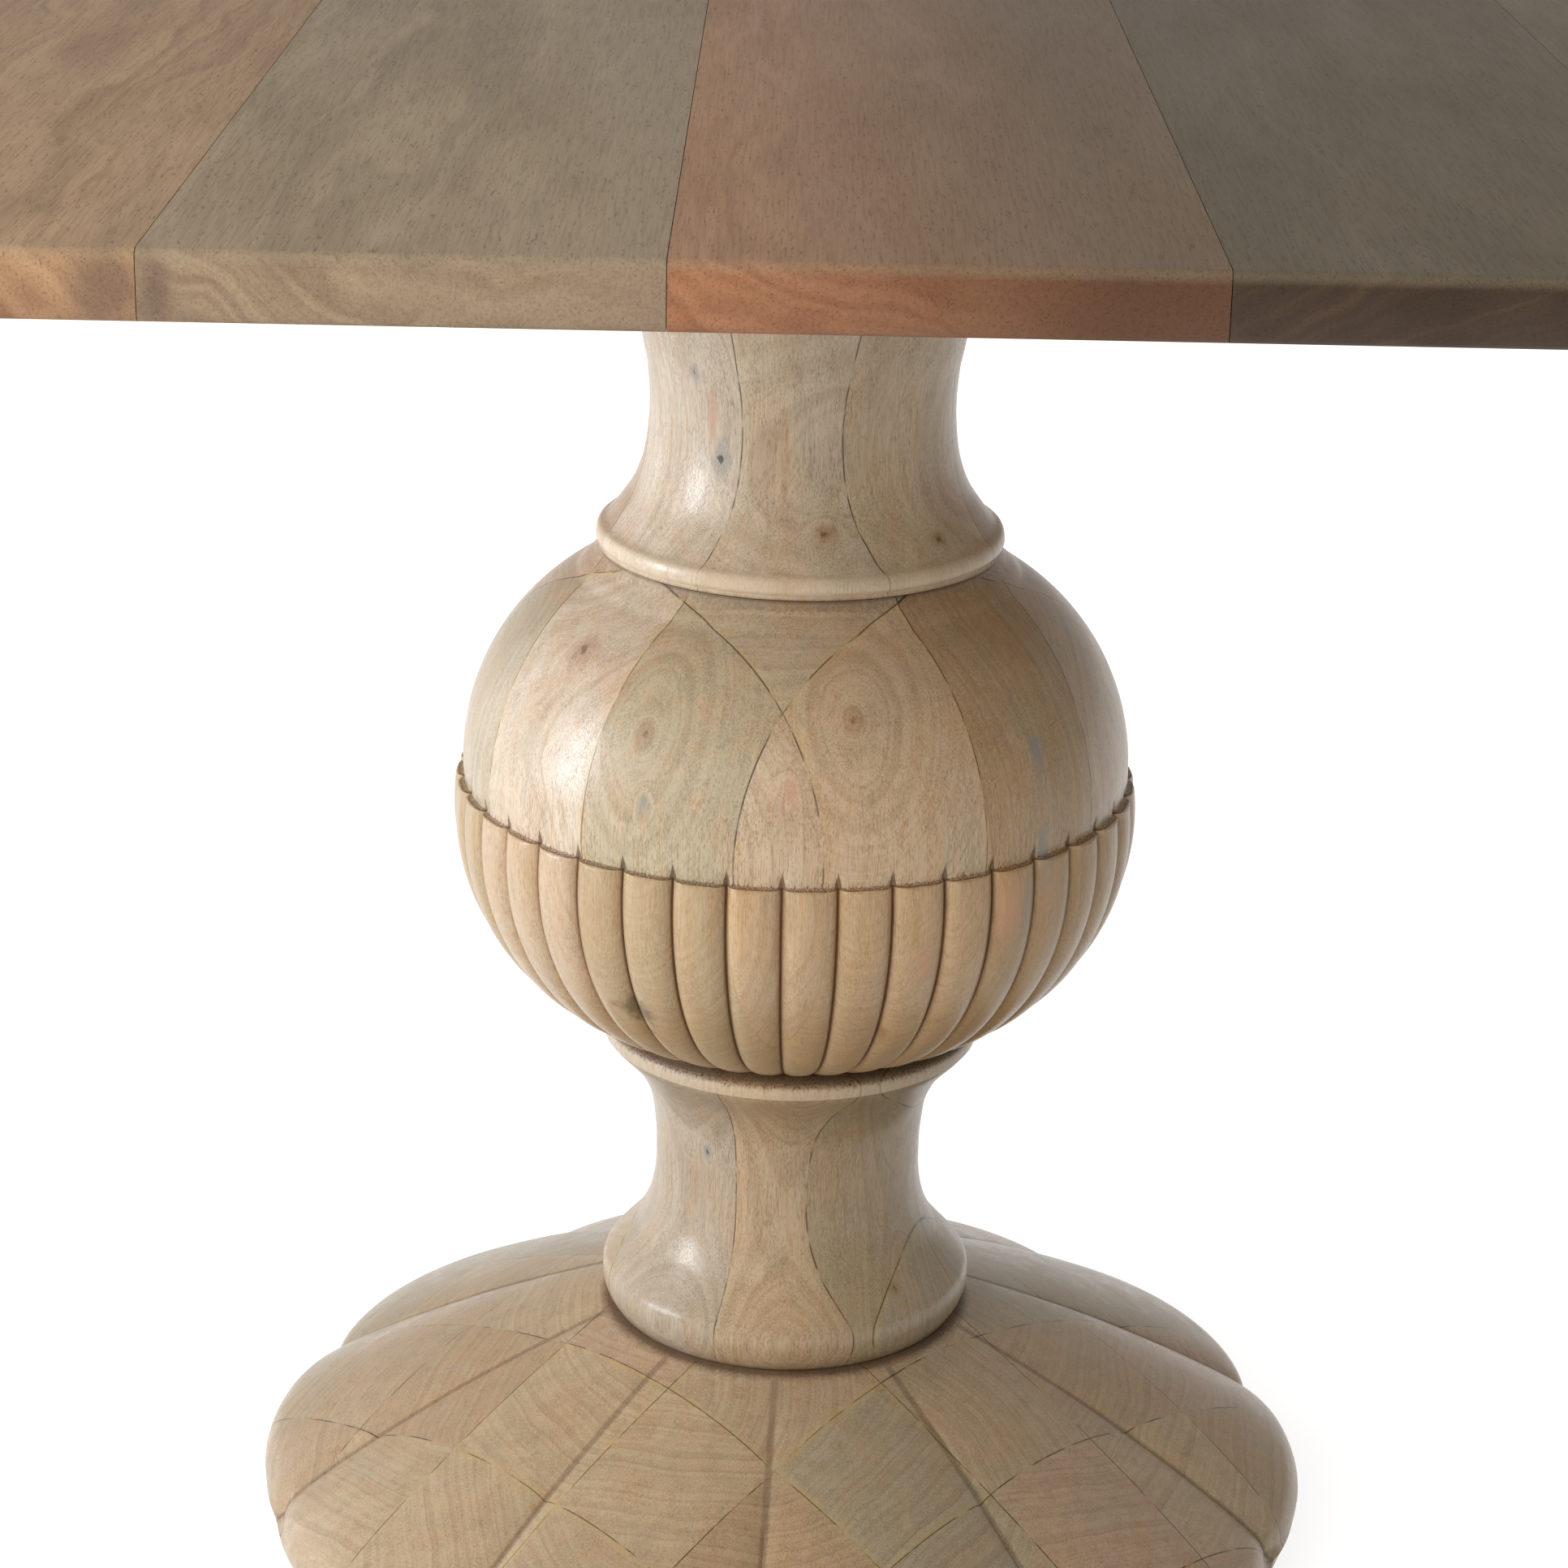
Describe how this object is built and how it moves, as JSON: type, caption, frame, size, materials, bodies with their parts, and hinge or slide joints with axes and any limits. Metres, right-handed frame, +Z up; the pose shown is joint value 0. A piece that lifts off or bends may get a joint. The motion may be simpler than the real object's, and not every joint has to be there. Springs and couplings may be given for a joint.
{
  "type": "pedestal table",
  "caption": "Square plank-topped wooden table on a turned pedestal: fluted globe between waisted columns, on a round carved base with levelling feet.",
  "frame": {"origin": "on the floor, under the middle of the pedestal", "axes": "+Z up; -Y towards the front edge, across the plank ends; planks run along Y"},
  "size_m": [1.016, 1.016, 0.762],
  "materials": {
    "plank_wood_1": "satin oiled mango plank, grey-brown",
    "plank_wood_2": "satin oiled mango plank, orange-brown",
    "plank_wood_3": "satin oiled mango plank, grey-beige",
    "plank_wood_4": "satin oiled mango plank, terracotta",
    "plank_wood_5": "satin oiled mango plank, dark brown",
    "plank_wood_6": "satin oiled mango plank, mid brown",
    "pedestal_wood": "satin clear-lacquered pale mango, laminated and turned",
    "bearer_wood": "planed, unfinished",
    "dowel_wood": "bare beech",
    "zinc_steel": "zinc plated",
    "brass": "machined",
    "nylon": "moulded, matte"
  },
  "bodies": {
    "table": {"top_plank_1": "plank_wood_1", "top_plank_2": "plank_wood_2", "top_plank_3": "plank_wood_3", "top_plank_4": "plank_wood_4", "top_plank_5": "plank_wood_5", "top_plank_6": "plank_wood_6", "top_spline_1": "dowel_wood", "top_spline_2": "dowel_wood", "top_spline_3": "dowel_wood", "top_spline_4": "dowel_wood", "top_spline_5": "dowel_wood", "front_cleat": "bearer_wood", "back_cleat": "bearer_wood", "cleat_screw_1": "zinc_steel", "cleat_screw_2": "zinc_steel", "cleat_screw_3": "zinc_steel", "cleat_screw_4": "zinc_steel", "cleat_screw_5": "zinc_steel", "cleat_screw_6": "zinc_steel", "cleat_screw_7": "zinc_steel", "cleat_screw_8": "zinc_steel", "cleat_screw_9": "zinc_steel", "cleat_screw_10": "zinc_steel", "cleat_screw_11": "zinc_steel", "cleat_screw_12": "zinc_steel", "cross_bearer": "bearer_wood", "long_bearer": "bearer_wood", "bearer_screw_1": "zinc_steel", "bearer_screw_2": "zinc_steel", "bearer_screw_3": "zinc_steel", "bearer_screw_4": "zinc_steel", "upper_column": "pedestal_wood", "fluted_globe": "pedestal_wood", "lower_column": "pedestal_wood", "carved_base": "pedestal_wood", "plinth_disc": "pedestal_wood", "dowel_1": "dowel_wood", "dowel_2": "dowel_wood", "dowel_3": "dowel_wood", "dowel_4": "dowel_wood", "tie_rod": "zinc_steel", "lower_washer": "zinc_steel", "lower_nut": "zinc_steel", "upper_washer": "zinc_steel", "upper_nut": "zinc_steel", "foot_insert_1": "brass", "foot_insert_2": "brass", "foot_insert_3": "brass", "foot_insert_4": "brass"},
    "foot_1_pad": {"foot_pad_1": "nylon"},
    "foot_1_stem": {"foot_stem_1": "zinc_steel"},
    "foot_2_pad": {"foot_pad_2": "nylon"},
    "foot_2_stem": {"foot_stem_2": "zinc_steel"},
    "foot_3_pad": {"foot_pad_3": "nylon"},
    "foot_3_stem": {"foot_stem_3": "zinc_steel"},
    "foot_4_pad": {"foot_pad_4": "nylon"},
    "foot_4_stem": {"foot_stem_4": "zinc_steel"}
  },
  "joints": [
    {"name": "foot_1_travel", "type": "slide", "parent": "table", "child": "foot_1_pad", "axis": [0, 0, -1], "range_m": [0, 0.012]},
    {"name": "foot_1_turn", "type": "hinge", "parent": "foot_1_pad", "child": "foot_1_stem", "pos_m": [0.14496, -0.14496, 0.012], "axis": [0, 0, -1], "range_deg": [0, 2880]},
    {"name": "foot_2_travel", "type": "slide", "parent": "table", "child": "foot_2_pad", "axis": [0, 0, -1], "range_m": [0, 0.012]},
    {"name": "foot_2_turn", "type": "hinge", "parent": "foot_2_pad", "child": "foot_2_stem", "pos_m": [0.14496, 0.14496, 0.012], "axis": [0, 0, -1], "range_deg": [0, 2880]},
    {"name": "foot_3_travel", "type": "slide", "parent": "table", "child": "foot_3_pad", "axis": [0, 0, -1], "range_m": [0, 0.012]},
    {"name": "foot_3_turn", "type": "hinge", "parent": "foot_3_pad", "child": "foot_3_stem", "pos_m": [-0.14496, 0.14496, 0.012], "axis": [0, 0, -1], "range_deg": [0, 2880]},
    {"name": "foot_4_travel", "type": "slide", "parent": "table", "child": "foot_4_pad", "axis": [0, 0, -1], "range_m": [0, 0.012]},
    {"name": "foot_4_turn", "type": "hinge", "parent": "foot_4_pad", "child": "foot_4_stem", "pos_m": [-0.14496, -0.14496, 0.012], "axis": [0, 0, -1], "range_deg": [0, 2880]}
  ],
  "couplings": [
    {"joint": "foot_1_turn", "follows": "foot_1_travel", "rad_per_m": 4188.8},
    {"joint": "foot_2_turn", "follows": "foot_2_travel", "rad_per_m": 4188.8},
    {"joint": "foot_3_turn", "follows": "foot_3_travel", "rad_per_m": 4188.8},
    {"joint": "foot_4_turn", "follows": "foot_4_travel", "rad_per_m": 4188.8}
  ]
}
